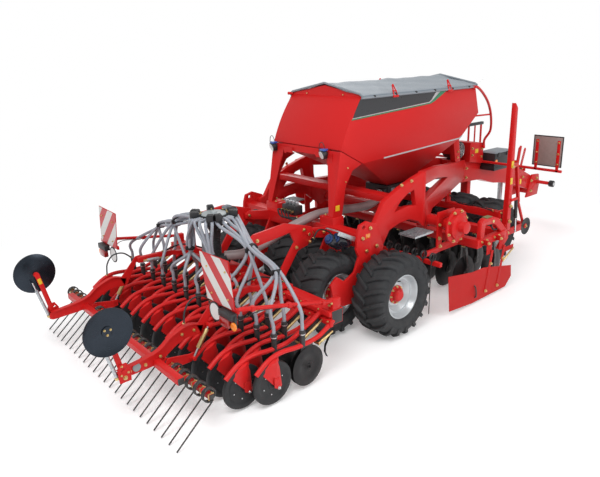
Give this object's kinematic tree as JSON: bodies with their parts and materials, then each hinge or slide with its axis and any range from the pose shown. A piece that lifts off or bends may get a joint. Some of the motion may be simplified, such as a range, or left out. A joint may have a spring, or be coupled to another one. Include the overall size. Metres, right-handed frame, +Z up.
{
  "type": "trailed seed drill",
  "caption": "Trailed pneumatic seed drill with a seed hopper, disc section, tyre packer, double-disc coulters, following harrow and track markers.",
  "frame": {"origin": "on the ground under the middle of the machine's bounding box", "axes": "+X to the right, +Y forward along the line of travel, +Z up"},
  "size_m": [2.972, 8.345, 2.5953],
  "materials": {
    "red": "glossy red paint on steel",
    "silver": "silver wheel paint and galvanised steel",
    "tyre": "matt black rubber with lugs",
    "cover": "blue-grey coated fabric",
    "black_plastic": "black moulded plastic",
    "dark_steel": "dark hardened steel",
    "black_paint": "black paint on steel",
    "hose": "grey ribbed hose",
    "board": "warning board with diagonal red and white stripes"
  },
  "bodies": {
    "chassis": {"roller_frame": "red", "main_frame": "red", "drawbar": "red", "hitch": "red", "hose_holder": "red", "hopper": "red", "hopper_cover": "cover", "hopper_legs_rear": "red", "hopper_legs_front": "red", "metering_unit": "black_plastic", "fan_housing": "black_plastic", "front_support": "red", "toolbox": "black_plastic", "handrail": "red", "packer_frame": "red", "front_boards": "red", "accumulators": "black_paint", "conveying_hose": "hose"},
    "roller_wheel_left_outer": {"roller_tyre_left_outer": "tyre", "roller_rim_left_outer": "silver"},
    "roller_wheel_left_rear": {"roller_tyre_left_rear": "tyre", "roller_rim_left_rear": "silver"},
    "roller_wheel_left_inner": {"roller_tyre_left_inner": "tyre", "roller_rim_left_inner": "silver"},
    "roller_wheel_right_inner": {"roller_tyre_right_inner": "tyre", "roller_rim_right_inner": "silver"},
    "roller_wheel_right_rear": {"roller_tyre_right_rear": "tyre", "roller_rim_right_rear": "silver"},
    "roller_wheel_right_outer": {"roller_tyre_right_outer": "tyre", "roller_rim_right_outer": "silver"},
    "packer_pair_left": {"packer_axle_left": "silver", "packer_tyre_left_inner": "tyre", "packer_tyre_left_outer": "tyre"},
    "packer_pair_right": {"packer_axle_right": "silver", "packer_tyre_right_inner": "tyre", "packer_tyre_right_outer": "tyre"},
    "disc_section": {"disc_frame": "red", "disc_row_front": "dark_steel", "disc_row_rear": "dark_steel", "leveller_tines": "dark_steel"},
    "guard_left": {"side_guard_left": "red"},
    "guard_right": {"side_guard_right": "red"},
    "track_arm_left": {"track_marker_left": "red"},
    "track_blade_left": {"track_disc_left": "dark_steel"},
    "track_arm_right": {"track_marker_right": "red"},
    "track_blade_right": {"track_disc_right": "dark_steel"},
    "seed_bar_group": {"seed_bar": "red", "distribution_head": "black_plastic", "coulters_front_row": "red", "coulters_rear_row": "red", "seed_hoses": "hose", "rear_board_right": "board", "rear_board_left": "board"},
    "harrow_group": {"harrow_frame": "red", "harrow_tines": "dark_steel"},
    "row_marker_left": {"row_marker_arm_left": "red"},
    "row_marker_blade_left": {"row_marker_disc_left": "dark_steel"},
    "row_marker_right": {"row_marker_arm_right": "red"},
    "row_marker_blade_right": {"row_marker_disc_right": "dark_steel"},
    "stand": {"parking_stand": "silver"}
  },
  "joints": [
    {"name": "roller_roll_left_outer", "type": "hinge", "parent": "chassis", "child": "roller_wheel_left_outer", "pos_m": [-1.25, -1.0675, 0.45], "axis": [1, 0, 0], "continuous": true},
    {"name": "roller_roll_left_rear", "type": "hinge", "parent": "chassis", "child": "roller_wheel_left_rear", "pos_m": [-0.75, -1.5175, 0.45], "axis": [1, 0, 0], "continuous": true},
    {"name": "roller_roll_left_inner", "type": "hinge", "parent": "chassis", "child": "roller_wheel_left_inner", "pos_m": [-0.25, -1.0675, 0.45], "axis": [1, 0, 0], "continuous": true},
    {"name": "roller_roll_right_inner", "type": "hinge", "parent": "chassis", "child": "roller_wheel_right_inner", "pos_m": [0.25, -1.0675, 0.45], "axis": [1, 0, 0], "continuous": true},
    {"name": "roller_roll_right_rear", "type": "hinge", "parent": "chassis", "child": "roller_wheel_right_rear", "pos_m": [0.75, -1.5175, 0.45], "axis": [1, 0, 0], "continuous": true},
    {"name": "roller_roll_right_outer", "type": "hinge", "parent": "chassis", "child": "roller_wheel_right_outer", "pos_m": [1.25, -1.0675, 0.45], "axis": [1, 0, 0], "continuous": true},
    {"name": "packer_roll_left", "type": "hinge", "parent": "chassis", "child": "packer_pair_left", "pos_m": [-0.5, 1.6125, 0.45], "axis": [1, 0, 0], "continuous": true},
    {"name": "packer_roll_right", "type": "hinge", "parent": "chassis", "child": "packer_pair_right", "pos_m": [0.5, 1.6125, 0.45], "axis": [1, 0, 0], "continuous": true},
    {"name": "disc_depth", "type": "slide", "parent": "chassis", "child": "disc_section", "axis": [0, 0, 1], "range_m": [0, 0.15]},
    {"name": "guard_fold_left", "type": "hinge", "parent": "disc_section", "child": "guard_left", "pos_m": [-1.4203, 0.5325, 0.73], "axis": [0, 1, 0], "range_deg": [0, 60]},
    {"name": "guard_fold_right", "type": "hinge", "parent": "disc_section", "child": "guard_right", "pos_m": [1.4203, 0.5325, 0.73], "axis": [0, -1, 0], "range_deg": [0, 60]},
    {"name": "track_marker_fold_left", "type": "hinge", "parent": "chassis", "child": "track_arm_left", "pos_m": [-1.3, 1.0825, 0.72], "axis": [0, -1, 0], "range_deg": [0, 90]},
    {"name": "track_disc_spin_left", "type": "hinge", "parent": "track_arm_left", "child": "track_blade_left", "pos_m": [-1.3155, 1.5325, 0.64], "axis": [1, 0, 0], "continuous": true},
    {"name": "track_marker_fold_right", "type": "hinge", "parent": "chassis", "child": "track_arm_right", "pos_m": [1.3, 1.0825, 0.72], "axis": [0, 1, 0], "range_deg": [0, 90]},
    {"name": "track_disc_spin_right", "type": "hinge", "parent": "track_arm_right", "child": "track_blade_right", "pos_m": [1.3155, 1.5325, 0.64], "axis": [1, 0, 0], "continuous": true},
    {"name": "seed_bar_lift", "type": "hinge", "parent": "chassis", "child": "seed_bar_group", "pos_m": [0, -1.6175, 1.08], "axis": [-1, 0, 0], "range_deg": [0, 20], "deforming": ["conveying_hose"]},
    {"name": "harrow_lift", "type": "hinge", "parent": "seed_bar_group", "child": "harrow_group", "pos_m": [0, -2.9275, 0.8], "axis": [-1, 0, 0], "range_deg": [0, 20]},
    {"name": "row_marker_fold_left", "type": "hinge", "parent": "harrow_group", "child": "row_marker_left", "pos_m": [-0.8213, -3.8675, 0.43], "axis": [1, 0, 0], "range_deg": [0, 80]},
    {"name": "row_marker_spin_left", "type": "hinge", "parent": "row_marker_left", "child": "row_marker_blade_left", "pos_m": [-0.8518, -3.9725, 0.89], "axis": [1, 0, 0], "continuous": true},
    {"name": "row_marker_fold_right", "type": "hinge", "parent": "harrow_group", "child": "row_marker_right", "pos_m": [0.8213, -3.8675, 0.43], "axis": [1, 0, 0], "range_deg": [0, 80]},
    {"name": "row_marker_spin_right", "type": "hinge", "parent": "row_marker_right", "child": "row_marker_blade_right", "pos_m": [0.8518, -3.9725, 0.89], "axis": [1, 0, 0], "continuous": true},
    {"name": "stand_slide", "type": "slide", "parent": "chassis", "child": "stand", "axis": [0, 0, 1], "range_m": [0, 0.3]}
  ]
}
